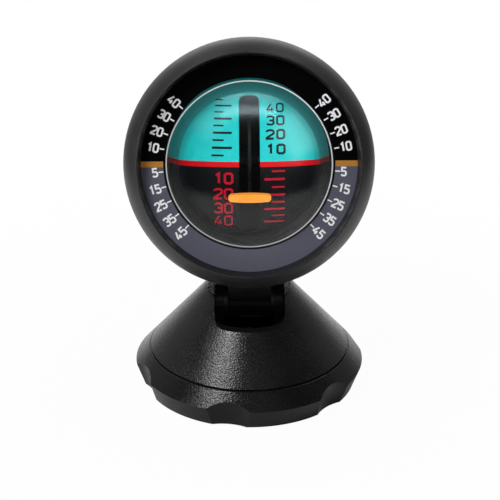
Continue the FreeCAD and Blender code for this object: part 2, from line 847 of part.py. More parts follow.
def tilt_washers():
    body = new_body("tilt_washers")
    inner_face = ear_inner - tilt_washer_thickness
    for name, level in (("right", inner_face), ("left", -ear_inner)):
        extruded_circle(
            body,
            name + "_washer",
            0,
            hinge_height,
            tilt_washer_radius,
            "YZ_Plane",
            level,
            tilt_washer_thickness,
        )
    bore = tilt_bolt_radius + screw_clearance
    extruded_circle(body, "bore", 0, hinge_height, bore, "YZ_Plane", -ear_inner, 2 * ear_inner, cut=True)


# ---------------------------------------------------------------------------------------------
# Head: neck, housing, bezel, dial and capsule
# ---------------------------------------------------------------------------------------------
cup_flange_back = ledge_front + gasket_thickness
dome_flange_back = cup_flange_back + flange_thickness
dome_flange_front = dome_flange_back + flange_thickness
housing_outer_profile = [
    (housing_shoulder_radius, bezel_back),
    (0, bezel_back),
    (0, -housing_back),
    (housing_back_radius, -housing_back, housing_curve),
    (housing_taper_radius, housing_taper_front),
]


def neck():
    body = new_body("neck")
    barrel = [
        (-hinge_drop, barrel_radius - hinge_setback, barrel_radius),
        (-hinge_drop - barrel_radius, -hinge_setback, barrel_radius),
        (-hinge_drop, -barrel_radius - hinge_setback, barrel_radius),
        (barrel_radius - hinge_drop, -hinge_setback, barrel_radius),
    ]
    extruded_outline(body, "barrel", barrel, "YZ_Plane", -barrel_half_width, 2 * barrel_half_width)
    for name, bottom, half_width in (
        ("web", -hinge_drop, barrel_half_width),
        ("arm", tilt_washer_radius + moving_gap - hinge_drop, neck_half_width),
    ):
        side = [
            (bottom, barrel_radius - hinge_setback),
            (bottom, -barrel_radius - hinge_setback),
            (neck_shoulder - hinge_drop, -neck_back),
            (-neck_boss_level, -neck_back),
            (-neck_boss_level, neck_front),
            (neck_shoulder - hinge_drop, neck_front),
        ]
        extruded_outline(body, name, side, "YZ_Plane", -half_width, 2 * half_width)
    turned(body, "saddle", housing_outer_profile, cut=True)
    bore = tilt_bolt_radius + running_clearance
    extruded_circle(
        body,
        "bolt_bore",
        -hinge_drop,
        -hinge_setback,
        bore,
        "YZ_Plane",
        -neck_half_width,
        2 * neck_half_width,
        cut=True,
    )
    depth = neck_screw_length + screw_clearance
    for name, z in neck_screw_places():
        extruded_circle(
            body, name + "_hole", 0, z, small_hole_radius, "XZ_Plane", neck_boss_level, depth, cut=True
        )
    place_on_head(body)


def neck_screw_places():
    return (("front", neck_screw_front), ("back", -neck_screw_back))


def neck_screws():
    body = new_body("neck_screws")
    for name, z in neck_screw_places():
        extruded_circle(
            body, name + "_shank", 0, z, small_screw_radius, "XZ_Plane", neck_boss_level, neck_screw_length
        )
        extruded_circle(
            body,
            name + "_head",
            0,
            z,
            small_head_radius,
            "XZ_Plane",
            neck_boss_level - small_head_height,
            small_head_height,
        )
    place_on_head(body)


def rear_housing():
    body = new_body("rear_housing")
    turned(body, "solid", housing_outer_profile)
    turned(body, "rim", rectangle(rim_inner_radius, ledge_front, rim_radius, rim_front))
    inner_taper = housing_taper_radius - housing_wall
    cavity = [
        (0, housing_wall - housing_back),
        (housing_back_radius, housing_wall - housing_back, housing_curve - housing_wall),
        (inner_taper, housing_taper_front),
        (ledge_radius, ledge_front - ledge_thickness),
        (ledge_radius, ledge_front),
        (rim_inner_radius, ledge_front),
        (rim_inner_radius, rim_front),
        (0, rim_front),
    ]
    turned(body, "cavity", cavity, cut=True)
    for name, z in neck_screw_places():
        extruded_circle(
            body, name + "_boss", 0, z, neck_boss_radius, "XZ_Plane", neck_boss_level, neck_boss_depth
        )
    outside = [
        (housing_back_radius, -housing_back, housing_curve),
        (housing_taper_radius, housing_taper_front),
        (housing_shoulder_radius, bezel_back),
        (2 * housing_shoulder_radius, bezel_back),
        (2 * housing_shoulder_radius, -housing_back),
    ]
    turned(body, "boss_trim", outside, cut=True)
    for name, z in neck_screw_places():
        extruded_circle(
            body,
            name + "_hole",
            0,
            z,
            small_hole_radius,
            "XZ_Plane",
            neck_boss_level,
            neck_boss_depth,
            cut=True,
        )
    place_on_head(body)


def bezel():
    body = new_body("bezel")
    lip_front = dial_front + lip_rise
    edge = dial_front - bezel_edge_depth
    bore = rim_radius + rim_clearance
    profile = [
        (dial_window_radius, dial_front),
        (lip_radius, lip_front, -lip_bead_radius),
        (lip_radius + lip_width, lip_front, -bezel_face_radius),
        (bezel_radius, edge),
        (bezel_back_radius, bezel_back),
        (bore, bezel_back),
        (bore, rim_front + rim_clearance),
        (dial_radius + rim_clearance, rim_front + rim_clearance),
        (dial_radius + rim_clearance, dial_front),
    ]
    turned(body, "ring", profile)
    place_on_head(body)


def dial_plate():
    body = new_body("dial_plate")
    turned(body, "plate", rectangle(dial_hole_radius, dial_back, dial_radius, dial_front))
    place_on_head(body)


def spacer_ring():
    body = new_body("spacer_ring")
    inner = dial_radius - spacer_wall
    turned(body, "ring", rectangle(inner, dome_flange_front, dial_radius, dial_back))
    place_on_head(body)


def capsule_dome():
    body = new_body("capsule_dome")
    outer = dome_outer_radius
    rib = outer + dome_rib_rise
    rib_inner = polar(outer, 90 - dome_rib_inner)
    rib_inner_top = polar(rib, 90 - dome_rib_inner)
    rib_outer_top = polar(rib, 90 - dome_rib_outer)
    rib_outer = polar(outer, 90 - dome_rib_outer)
    foot_outer = root(outer * outer - dome_flange_front * dome_flange_front)
    foot_inner = root(dome_inner_radius * dome_inner_radius - dome_flange_back * dome_flange_back)
    profile = [
        (0, outer, -outer),
        rib_inner,
        (*rib_inner_top, -rib),
        rib_outer_top,
        (*rib_outer, -outer),
        (foot_outer, dome_flange_front),
        (flange_radius, dome_flange_front),
        (flange_radius, dome_flange_back),
        (foot_inner, dome_flange_back, dome_inner_radius),
        (0, dome_inner_radius),
    ]
    turned(body, "dome", profile)
    place_on_head(body)


def cup_back_outline(inset):
    """The cup's back from its wall to its axis, inset from its outer face."""
    radius = cup_inner_radius + cup_wall - inset
    back = cup_back + cup_wall - inset
    corner = cup_corner_radius + cup_wall - inset
    return radius, back, corner


def seal_section():
    """The seal, which fills its groove in the cup's flange."""
    side = seal_width / 2
    return rectangle(seal_radius - side, dome_flange_back - seal_depth, seal_radius + side, dome_flange_back)


def capsule_cup():
    body = new_body("capsule_cup")
    radius, back, corner = cup_back_outline(0)
    inner_radius, inner_back, inner_corner = cup_back_outline(cup_wall)
    profile = [
        (inner_radius, dome_flange_back),
        (inner_radius, inner_corner - inner_back, -inner_corner),
        (inner_radius - inner_corner, -inner_back),
        (0, -inner_back),
        (0, -back - cup_boss_length),
        (cup_boss_radius, -back - cup_boss_length),
        (cup_boss_radius, -back),
        (radius - corner, -back, corner),
        (radius, corner - back),
        (radius, cup_flange_back),
        (flange_radius, cup_flange_back),
        (flange_radius, dome_flange_back),
    ]
    turned(body, "cup", profile)
    turned(body, "seal_groove", seal_section(), cut=True)
    socket_depth = back + cup_boss_length - cup_wall - inner_back
    socket = rectangle(0, -inner_back - cup_wall - socket_depth, roll_axle_radius, -inner_back)
    turned(body, "axle_socket", socket, cut=True)
    extruded_circle(body, "filler_hole", plug_offset, 0, plug_radius, "XY_Plane", -back, cup_wall, cut=True)
    place_on_head(body)


def capsule_seal():
    body = new_body("capsule_seal")
    turned(body, "seal", seal_section())
    place_on_head(body)


def capsule_gasket():
    body = new_body("capsule_gasket")
    inner = ledge_radius + rim_clearance
    turned(body, "gasket", rectangle(inner, ledge_front, flange_radius, cup_flange_back))
    place_on_head(body)


def filler_plug():
    body = new_body("filler_plug")
    back = cup_back + cup_wall
    corners = [
        (plug_offset, -back - plug_head_height),
        (plug_offset + plug_head_radius, -back - plug_head_height),
        (plug_offset + plug_head_radius, -back),
        (plug_offset + plug_radius, -back),
        (plug_offset + plug_radius, -cup_back),
        (plug_offset, -cup_back),
    ]
    turned_aside(body, "plug", corners, (plug_offset, -back), (plug_offset, -cup_back))
    place_on_head(body)


# ---------------------------------------------------------------------------------------------
# Roll ball: two coloured shells and a band on a frame that turns on the roll axle
# ---------------------------------------------------------------------------------------------
cap_depth = root(ball_radius * ball_radius - cap_radius * cap_radius)
frame_back = ball_back + frame_thickness
far = 2 * ball_radius


def shell_profile():
    """The ball's skin: a round cap in front of a skirt that runs back to the frame."""
    inner_radius = ball_radius - ball_wall
    inner_cap = cap_radius - ball_wall
    inner_depth = root(inner_radius * inner_radius - inner_cap * inner_cap)
    return [
        (0, ball_radius, -ball_radius),
        (cap_radius, cap_depth),
        (skirt_radius, skirt_bend),
        (skirt_radius, -ball_back),
        (skirt_radius - ball_wall, -ball_back),
        (skirt_radius - ball_wall, skirt_bend),
        (inner_cap, inner_depth, inner_radius),
        (0, inner_radius),
    ]


def front_gap(body):
    """The upright gap in the cap, through which the pendulum's tab reaches its marker."""
    side = gap_half_width
    end = gap_half_length
    corner = gap_corner_radius
    gap = [
        (side, corner - end),
        (side, end - corner, corner),
        (side - corner, end),
        (corner - side, end, corner),
        (-side, end - corner),
        (-side, corner - end, corner),
        (corner - side, -end),
        (side - corner, -end, corner),
    ]
    extruded_outline(body, "gap", gap, "XY_Plane", skirt_bend, far, cut=True)


def height_cut(body, name, bottom, top):
    """Takes away the part of the ball between two heights in the dial."""
    extruded_outline(body, name, rectangle(-far, bottom, far, top), "XY_Plane", -far, 2 * far, cut=True)


band_top = sight_rise - band_sink + band_half_height
band_bottom = sight_rise - band_sink - band_half_height


def ball_piece(label, cuts):
    body = new_body(label)
    turned(body, "skin", shell_profile())
    for name, bottom, top in cuts:
        height_cut(body, name, bottom, top)
    front_gap(body)
    place_on_head(body)


def upper_shell():
    ball_piece("upper_shell", [("lower_cut", -far, band_top)])


def lower_shell():
    ball_piece("lower_shell", [("upper_cut", band_bottom, far)])


def horizon_band():
    cuts = [("upper_cut", band_top, far), ("lower_cut", -far, band_bottom)]
    ball_piece("horizon_band", cuts)


def roll_frame():
    body = new_body("roll_frame")
    profile = [
        (bush_radius, -bush_back),
        (bush_radius + frame_hub_wall, -bush_back),
        (bush_radius + frame_hub_wall, -frame_back),
        (skirt_radius, -frame_back),
        (skirt_radius, -ball_back),
        (bush_radius, -ball_back),
    ]
    turned(body, "disc", profile)
    outer_face = cheek_inner + cheek_thickness

    def beside(radius):
        """Half the height of a round of that radius at the cheek's outer face, less its clearance."""
        return root(radius * radius - outer_face * outer_face) - cheek_clearance

    cheek_arc = beside(ball_radius - ball_wall)
    cheek_top = beside(skirt_radius - ball_wall)
    cap_top = beside(cap_radius - ball_wall)
    cap_front = root(cheek_arc * cheek_arc - cap_top * cap_top)
    root_level = -ball_back - frame_thickness / 2
    cheek = [
        (-cheek_top, root_level),
        (cheek_top, root_level),
        (cheek_top, skirt_bend),
        (cap_top, cap_front, cheek_arc),
        (-cap_top, cap_front),
        (-cheek_top, skirt_bend),
    ]
    extruded_outline(body, "right_cheek", cheek, "YZ_Plane", cheek_inner, cheek_thickness)
    extruded_outline(body, "left_cheek", cheek, "YZ_Plane", -outer_face, cheek_thickness)
    extruded_circle(
        body, "axle_hole", 0, 0, pitch_axle_radius, "YZ_Plane", -outer_face, 2 * outer_face, cut=True
    )
    place_on_head(body)


def roll_ballast():
    body = new_body("roll_ballast")
    outer = skirt_radius - ball_wall - cheek_clearance
    down = as_size(-90)
    first = down - ballast_half_angle
    last = down + ballast_half_angle
    ring_segment = sector(outer - ballast_thickness, outer, first, last)
    extruded_outline(body, "segment", ring_segment, "XY_Plane", -ball_back, ballast_depth)
    side = cheek_inner + cheek_thickness + cheek_clearance
    channel = rectangle(-side, -far, side, 0)
    extruded_outline(body, "channel", channel, "XY_Plane", -ball_back, ballast_depth, cut=True)
    place_on_head(body)


def roll_bush():
    body = new_body("roll_bush")
    bore = roll_axle_radius + running_clearance
    pocket = roll_head_radius + running_clearance
    pocket_back = -bush_front - roll_head_height - moving_gap
    profile = [
        (bore, -bush_back),
        (bush_radius, -bush_back),
        (bush_radius, -bush_front),
        (pocket, -bush_front),
        (pocket, pocket_back),
        (bore, pocket_back),
    ]
    turned(body, "bush", profile)
    place_on_head(body)


def roll_axle():
    body = new_body("roll_axle")
    head_back = -bush_front - roll_head_height
    profile = [
        (0, -cup_back - cup_boss_length),
        (roll_axle_radius, -cup_back - cup_boss_length),
        (roll_axle_radius, head_back),
        (roll_head_radius, head_back),
        (roll_head_radius, -bush_front),
        (0, -bush_front),
    ]
    turned(body, "axle", profile)
    place_on_head(body)


def pitch_axle():
    body = new_body("pitch_axle")
    half = cheek_inner + cheek_thickness
    extruded_circle(body, "pin", 0, 0, pitch_axle_radius, "YZ_Plane", -half, 2 * half)
    place_on_head(body)


# ---------------------------------------------------------------------------------------------
# Pitch pendulum, drawn level: +Z points forward to the marker
# ---------------------------------------------------------------------------------------------
weight_angle = -(90 + weight_lean)
marker_back = ball_radius + marker_gap


def forward(point):
    """Turns a polar point, whose angle is from the forward direction, into the YZ plane's axes."""
    ahead, up = point
    return up, ahead


def pendulum_sector(inner, outer, first, last):
    """A ring segment between two angles up from the forward direction."""
    return [
        forward(polar(inner, last)),
        (*forward(polar(outer, last)), outer),
        forward(polar(outer, first)),
        (*forward(polar(inner, first)), -inner),
    ]


def pitch_plate():
    body = new_body("pitch_plate")
    side = pendulum_thickness / 2

    def layer(name, corners, cut=False):
        extruded_outline(body, name, corners, "YZ_Plane", -side, pendulum_thickness, cut)

    hub_half = weight_half_width
    extruded_circle(body, "hub", 0, 0, pendulum_hub_radius, "YZ_Plane", -hub_half, 2 * hub_half)
    hub = pendulum_hub_radius / 2
    fan = pendulum_sector(hub, pendulum_radius, -pendulum_lower_angle, pendulum_upper_angle)
    layer("fan", fan)
    window = pendulum_sector(
        window_inner_radius,
        window_outer_radius,
        window_margin - pendulum_lower_angle / 2,
        pendulum_upper_angle - window_margin,
    )
    layer("window", window, cut=True)
    tab_root = pendulum_radius - tab_half_height
    tab = [
        (sight_rise - tab_half_height, tab_root),
        (sight_rise + gusset_height, tab_root),
        (sight_rise + tab_half_height, marker_back),
        (sight_rise - tab_half_height, marker_back),
    ]
    layer("tab", tab)
    tail_end = weight_outer_radius - rivet_radius
    tail = pendulum_sector(hub, tail_end, weight_angle - tail_half_angle, weight_angle + tail_half_angle)
    layer("tail", tail)
    bore = pitch_axle_radius + running_clearance
    extruded_circle(body, "bore", 0, 0, bore, "YZ_Plane", -hub_half, 2 * hub_half, cut=True)
    rivet_y, rivet_z = forward(polar(rivet_distance, weight_angle))
    extruded_circle(
        body, "rivet_hole", rivet_y, rivet_z, rivet_radius, "YZ_Plane", -side, pendulum_thickness, cut=True
    )
    place_level(body)


def pitch_marker():
    body = new_body("pitch_marker")
    end_radius = marker_end_height / 2
    straight = marker_half_width - end_radius
    bulge_radius = (straight * straight + marker_bulge * marker_bulge) / (2 * marker_bulge)
    marker = [
        (straight, sight_rise - end_radius, end_radius),
        (marker_half_width, sight_rise, end_radius),
        (straight, sight_rise + end_radius, bulge_radius),
        (-straight, sight_rise + end_radius, end_radius),
        (-marker_half_width, sight_rise, end_radius),
        (-straight, sight_rise - end_radius, bulge_radius),
    ]
    extruded_outline(body, "bar", marker, "XY_Plane", marker_back, marker_thickness)
    place_level(body)


def pitch_weight():
    body = new_body("pitch_weight")
    segment = pendulum_sector(
        weight_inner_radius,
        weight_outer_radius,
        weight_angle - weight_half_angle,
        weight_angle + weight_half_angle,
    )
    side = pendulum_thickness / 2
    thickness = weight_half_width - side
    extruded_outline(body, "right_slab", segment, "YZ_Plane", side, thickness)
    extruded_outline(body, "left_slab", segment, "YZ_Plane", -weight_half_width, thickness)
    rivet_y, rivet_z = forward(polar(rivet_distance, weight_angle))
    half = weight_half_width
    extruded_circle(body, "hole", rivet_y, rivet_z, rivet_radius, "YZ_Plane", -half, 2 * half, cut=True)
    place_level(body)


def weight_rivet():
    body = new_body("weight_rivet")
    rivet_y, rivet_z = forward(polar(rivet_distance, weight_angle))
    half = weight_half_width
    extruded_circle(body, "rivet", rivet_y, rivet_z, rivet_radius, "YZ_Plane", -half, 2 * half)
    place_level(body)


for make in (
    adhesive_pad,
    base_plate,
    grip_ring,
    base_screws,
    friction_washer,
    spring_washer,
    swivel_bolt,
    cone_shell,
    turret_yoke,
    yoke_screws,
    tilt_bolt,
    tilt_nut,
    tilt_washers,
    neck,
    neck_screws,
    rear_housing,
    bezel,
    dial_plate,
    spacer_ring,
    capsule_dome,
    capsule_cup,
    capsule_seal,
    capsule_gasket,
    filler_plug,
    roll_axle,
    upper_shell,
    lower_shell,
    horizon_band,
    roll_frame,
    roll_ballast,
    roll_bush,
    pitch_axle,
    pitch_plate,
    pitch_marker,
    pitch_weight,
    weight_rivet,
):
    make()

# ---------------------------------------------------------------------------------------------
# Checks and export
# ---------------------------------------------------------------------------------------------
document.recompute()
for item in document.Objects:
    if "Invalid" in item.State or "Error" in item.State:
        raise RuntimeError(f"{item.Name} failed: {item.State}")
for sub_part in sub_parts:
    if sub_part.Shape.isNull() or not sub_part.Shape.isValid():
        raise RuntimeError(f"{sub_part.Label} has no valid shape")

os.makedirs("parts", exist_ok=True)
for sub_part in sub_parts:
    sub_part.Shape.exportStep(f"parts/{sub_part.Label}.step")
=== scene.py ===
import json
import math

import bmesh
import bpy
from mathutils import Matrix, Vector


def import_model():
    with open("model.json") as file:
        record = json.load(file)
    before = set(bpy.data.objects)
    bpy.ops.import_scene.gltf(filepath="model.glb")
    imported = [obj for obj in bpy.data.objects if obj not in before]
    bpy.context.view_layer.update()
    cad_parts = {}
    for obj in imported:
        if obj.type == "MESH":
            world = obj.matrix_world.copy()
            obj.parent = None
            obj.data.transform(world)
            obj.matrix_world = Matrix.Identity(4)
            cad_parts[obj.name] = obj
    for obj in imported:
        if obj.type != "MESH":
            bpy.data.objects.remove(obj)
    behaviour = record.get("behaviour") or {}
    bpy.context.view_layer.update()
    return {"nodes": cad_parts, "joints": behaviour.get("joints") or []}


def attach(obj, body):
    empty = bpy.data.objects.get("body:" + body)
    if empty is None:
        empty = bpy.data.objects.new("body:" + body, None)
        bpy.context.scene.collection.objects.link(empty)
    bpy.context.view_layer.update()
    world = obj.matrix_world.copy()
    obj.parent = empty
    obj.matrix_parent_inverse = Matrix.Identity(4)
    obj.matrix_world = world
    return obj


# The finish, print, light and camera of a ball inclinometer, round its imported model. Metres, +Z up,
# the dial faces -Y and leans back.
MM = 0.001

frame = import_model()
nodes_by_name = frame["nodes"]


# ---------------------------------------------------------------------------------------------
# Frame of the dial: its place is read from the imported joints, and its sizes repeat part.py's, to 0.01 mm
# ---------------------------------------------------------------------------------------------
roll_joint = next(joint for joint in frame["joints"] if joint["name"] == "horizon_roll")
BALL_CENTRE = Vector(roll_joint["pos_m"])
OUT = Vector(roll_joint["axis"]).normalized()
ACROSS = Vector((1, 0, 0))
UP = OUT.cross(ACROSS)

DIAL_FRONT = 19.1 * MM
DIAL_HOLE_RADIUS = 24.85 * MM
DIAL_WINDOW_RADIUS = 31.3 * MM
BALL_RADIUS = 25.8 * MM
# How far the horizon lies above the middle of the ball, as seen along the dial's axis.
SIGHT_RISE = 0.65 * MM


def in_dial(x, y, depth):
    """The point at x and y in the dial's plane, depth out from the centre of the ball."""
    return BALL_CENTRE + ACROSS * x + UP * y + OUT * depth


def add_mesh(name, mesh):
    """Turns a bmesh into an object of the scene."""
    data = bpy.data.meshes.new(name)
    mesh.to_mesh(data)
    mesh.free()
    made = bpy.data.objects.new(name, data)
    bpy.context.scene.collection.objects.link(made)
    return made


# ---------------------------------------------------------------------------------------------
# Colours and node graphs
# ---------------------------------------------------------------------------------------------
def rgb(red, green, blue):
    return (red, green, blue, 1.0)


def grey(level):
    return rgb(level, level, level)


def scaled(color, factor):
    """A colour made darker or lighter by a factor."""
    return rgb(*(min(1, factor * part) for part in color[:3]))


# The range in which most values of a noise lie.
NOISE_LOW, NOISE_HIGH = 0.3, 0.7


class Graph:
    """The node tree of a material or the world, with short calls for the nodes that they share."""

    def __init__(self, owner, output="ShaderNodeOutputMaterial"):
        owner.use_nodes = True
        self.owner = owner
        self.tree = owner.node_tree
        self.tree.nodes.clear()
        self.output = self.node(output)
        self.coordinates = self.node("ShaderNodeTexCoord").outputs
        self.place = self.coordinates["Object"]

    def node(self, kind, **settings):
        made = self.tree.nodes.new(kind)
        for key, value in settings.items():
            setattr(made, key, value)
        return made

    def feed(self, socket, value):
        """Links an output to a socket, or sets the socket's own value."""
        if isinstance(value, bpy.types.NodeSocket):
            self.tree.links.new(value, socket)
        else:
            socket.default_value = value

    def combined(self, made, values):
        """Feeds a node's first sockets in turn and gives the node back."""
        for socket, value in zip(made.inputs, values):
            self.feed(socket, value)
        return made

    def maths(self, operation, *values):
        return self.combined(self.node("ShaderNodeMath", operation=operation), values).outputs[0]

    def vectors(self, operation, *values, result="Value"):
        """Maths on vectors, of which the result is a number unless it is named Vector."""
        return self.combined(self.node("ShaderNodeVectorMath", operation=operation), values).outputs[result]

    def remap(self, value, low, high, to_low=0.0, to_high=1.0, smooth=False):
        steps = "SMOOTHSTEP" if smooth else "LINEAR"
        made = self.node("ShaderNodeMapRange", interpolation_type=steps)
        return self.combined(made, (value, low, high, to_low, to_high)).outputs[0]

    def spread(self, noise, to_low=0.0, to_high=1.0):
        """A noise stretched from its usual range to the one given."""
        return self.remap(noise, NOISE_LOW, NOISE_HIGH, to_low, to_high)

    def mix(self, share, first, second):
        made = self.node("ShaderNodeMix", data_type="RGBA")
        self.feed(made.inputs["Factor"], share)
        self.feed(made.inputs["A"], first)
        self.feed(made.inputs["B"], second)
        return made.outputs["Result"]

    def mix_shader(self, share, first, second):
        return self.combined(self.node("ShaderNodeMixShader"), (share, first, second)).outputs[0]

    def noise(self, size, detail=2.0, stretch=None):
        """Noise from 0 to 1 whose features are about size across."""
        made = self.node("ShaderNodeTexNoise")
        made.inputs["Scale"].default_value = 1 / size
        made.inputs["Detail"].default_value = detail
        place = self.place
        if stretch:
            mapping = self.node("ShaderNodeMapping")
            mapping.inputs["Scale"].default_value = stretch
            self.feed(mapping.inputs["Vector"], place)
            place = mapping.outputs[0]
        self.feed(made.inputs["Vector"], place)
        return made.outputs["Fac"]

    def cells(self, size):
        """Distance to the middle of cells that are about size across, from 0 to about 1."""
        made = self.node("ShaderNodeTexVoronoi")
        made.inputs["Scale"].default_value = 1 / size
        self.feed(made.inputs["Vector"], self.place)
        return made.outputs["Distance"]

    def bump(self, height, distance, under=None):
        """A normal for relief that is distance high, on top of the relief under it."""
        made = self.node("ShaderNodeBump")
        made.inputs["Distance"].default_value = distance
        self.feed(made.inputs["Height"], height)
        if under is not None:
            self.feed(made.inputs["Normal"], under)
        return made.outputs[0]

    def along(self, direction):
        """How far a point lies from the centre of the ball along a direction."""
        away = self.vectors("SUBTRACT", self.place, BALL_CENTRE, result="Vector")
        return self.vectors("DOT_PRODUCT", away, direction)

    def dial_radius(self):
        """How far a point lies from the dial's axis."""
        x = self.along(ACROSS)
        y = self.along(UP)
        total = self.maths("ADD", self.maths("MULTIPLY", x, x), self.maths("MULTIPLY", y, y))
        return self.maths("SQRT", total)

    def rays(self):
        """Whether the camera looks straight at a point, and whether a mirror or glass does."""
        ray = self.node("ShaderNodeLightPath").outputs
        bent = self.maths("MAXIMUM", ray["Is Glossy Ray"], ray["Is Transmission Ray"])
        return ray["Is Camera Ray"], bent

    def principled(self, color, roughness, metallic=0.0, normal=None, **more):
        made = self.node("ShaderNodeBsdfPrincipled")
        self.feed(made.inputs["Base Color"], color)
        self.feed(made.inputs["Roughness"], roughness)
        made.inputs["Metallic"].default_value = metallic
        if normal is not None:
            self.feed(made.inputs["Normal"], normal)
        for key, value in more.items():
            self.feed(made.inputs[key.replace("_", " ")], value)
        return made.outputs[0]

    def finish(self, shader):
        self.feed(self.output.inputs["Surface"], shader)
        return self.owner


def material_graph(name):
    return Graph(bpy.data.materials.new(name))


# ---------------------------------------------------------------------------------------------
# Finishes
# ---------------------------------------------------------------------------------------------
# How far across their features are, and how high the relief of each stands.
CLOUD = 9 * MM
RIPPLE, RIPPLE_RELIEF = 3 * MM, 0.03 * MM
FLECK, FLECK_RELIEF = 0.25 * MM, 0.004 * MM
SCRATCH, SCRATCH_RELIEF = 0.12 * MM, 0.006 * MM
TARNISH = 2 * MM
FOAM_CELL, FOAM_RELIEF = 0.5 * MM, 0.12 * MM
PLATE_GRAIN, PLATE_RELIEF = 0.3 * MM, 0.004 * MM
MOTTLE = 2.5 * MM
SATIN, SATIN_RELIEF = 0.2 * MM, 0.003 * MM
SPECKLE, SPECKLE_RELIEF = 0.15 * MM, 0.003 * MM
SWIRL, SWIRL_RELIEF = 6 * MM, 0.01 * MM
# The metals' scratches lie level, this many times longer than they are high.
SCRATCH_STRETCH = 14


def spark_plastic(name, color, roughness, grain, depth, specular=0.5):
    """Black moulded plastic with the pits of a spark-eroded mould, grain across and depth deep."""
    graph = material_graph(name)
    pits = graph.cells(grain)
    fine = graph.noise(0.7 * grain, detail=1.0)
    cloud = graph.noise(CLOUD, detail=3.0)
    normal = graph.bump(graph.maths("ADD", graph.maths("MULTIPLY", pits, 0.9), fine), depth)
    base = graph.mix(graph.remap(fine, 0.35, 0.75), color, scaled(color, 1.5))
    shade = graph.node("ShaderNodeVectorMath", operation="SCALE")
    graph.feed(shade.inputs[0], base)
    graph.feed(shade.inputs["Scale"], graph.spread(cloud, 0.88, 1.12))
    wear = graph.maths("ADD", fine, graph.maths("MULTIPLY", cloud, 0.5))
    gloss = graph.remap(wear, 0.5, 1.0, roughness - 0.06, roughness + 0.1)
    toned = shade.outputs[0]
    return graph.finish(graph.principled(toned, gloss, normal=normal, Specular_IOR_Level=specular))


def smooth_plastic(name, color, roughness, specular=0.5):
    """Plastic from a polished mould, with faint ripples and dulled patches."""
    graph = material_graph(name)
    ripple = graph.noise(RIPPLE)
    fleck = graph.noise(FLECK)
    normal = graph.bump(fleck, FLECK_RELIEF, under=graph.bump(ripple, RIPPLE_RELIEF))
    gloss = graph.spread(ripple, roughness - 0.05, roughness + 0.07)
    base = graph.mix(graph.spread(fleck), color, scaled(color, 1.15))
    return graph.finish(graph.principled(base, gloss, normal=normal, Specular_IOR_Level=specular))


def metal(name, color, roughness):
    """Turned or drawn metal with fine scratches along one way and dulled patches."""
    graph = material_graph(name)
    scratch = graph.noise(SCRATCH, detail=3.0, stretch=(1, 1, SCRATCH_STRETCH))
    normal = graph.bump(scratch, SCRATCH_RELIEF)
    gloss = graph.spread(graph.noise(TARNISH), roughness - 0.08, roughness + 0.08)
    base = graph.mix(graph.spread(scratch), scaled(color, 0.8), color)
    return graph.finish(graph.principled(base, gloss, metallic=1.0, normal=normal))


def foam(name, color):
    """Foam or rubber, pitted all over with small cells."""
    graph = material_graph(name)
    cell = graph.cells(FOAM_CELL)
    normal = graph.bump(cell, FOAM_RELIEF)
    base = graph.mix(graph.remap(cell, 0.2, 0.7), scaled(color, 0.6), color)
    return graph.finish(graph.principled(base, 0.85, normal=normal))


DIAL_BLACK = rgb(0.0005, 0.0005, 0.0007)
DIAL_SLATE = rgb(0.115, 0.118, 0.155)
DIAL_SLATE_LIGHT = rgb(0.145, 0.150, 0.195)


def dial_face():
    """Printed plate: black above the horizon and slate grey below it."""
    graph = material_graph("dial_face")
    below = graph.maths("LESS_THAN", graph.along(UP), 0.0)
    grain = graph.noise(PLATE_GRAIN, detail=3.0)
    slate = graph.mix(graph.spread(grain), DIAL_SLATE, DIAL_SLATE_LIGHT)
    color = graph.mix(below, DIAL_BLACK, slate)
    normal = graph.bump(grain, PLATE_RELIEF)
    gloss = graph.spread(grain, 0.5, 0.6)
    return graph.finish(graph.principled(color, gloss, normal=normal, Specular_IOR_Level=0.05))


def glowing(graph, base, gloss, normal, painted_glow, specular):
    """A finish with emission in its own colour: painted glow, which lightens it though no lamp is in it."""
    lit = {"Emission_Color": base, "Emission_Strength": painted_glow, "Specular_IOR_Level": specular}
    return graph.finish(graph.principled(base, gloss, normal=normal, **lit))


# Under the liquid a surface hardly mirrors, and this is its specular level.
IMMERSED = 0.08


def ball_skin(name, color, painted_glow):
    """Satin plastic under the liquid, with painted glow: emission in its own colour in place of light."""
    graph = material_graph(name)
    mottle = graph.noise(MOTTLE, detail=3.0)
    base = graph.mix(graph.spread(mottle), scaled(color, 0.88), color)
    normal = graph.bump(graph.noise(SATIN), SATIN_RELIEF)
    gloss = graph.spread(mottle, 0.32, 0.42)
    return glowing(graph, base, gloss, normal, painted_glow, IMMERSED)


def ink(name, color, painted_glow=0.0, specular=0.5):
    """Screen-printed ink, slightly uneven, with painted glow in its own colour where painted_glow is above
    0.
    """
    graph = material_graph(name)
    speckle = graph.noise(SPECKLE)
    base = graph.mix(graph.spread(speckle), scaled(color, 0.9), color)
    normal = graph.bump(speckle, SPECKLE_RELIEF)
    gloss = graph.spread(speckle, 0.42, 0.55)
    return glowing(graph, base, gloss, normal, painted_glow, specular)


# The clear dome. Its painted shade, darkening what is seen through it towards the rim, and its haze grow
# between angles from the dial's axis, given in degrees. The haze is densest at the foot of the dome, where
# it also paints in a reflection of the floor. Heights are from the middle of the ball.
CLEAR = rgb(0.985, 0.99, 0.99)
PAINTED_RIM_SHADE = grey(0.84)
SHADE_FROM, SHADE_TO = 36.0, 46.0
HAZE_FROM = 36.0
HAZE_FOOT, HAZE_TOP = -20 * MM, 2 * MM
HAZE_AND_REFLECTION_AT_FOOT, HAZE_AT_TOP = 0.125, 0.025
HAZE_AND_REFLECTION_WHITE = 0.9
# How much the dome mirrors where it is seen square on, and how much more at a grazing angle, which comes
# in with this power of Layer Weight's Facing.
DOME_MIRROR = 0.020
DOME_GRAZING = 0.9
GRAZING_POWER = 5.0
DOME_ROUGHNESS = 0.20
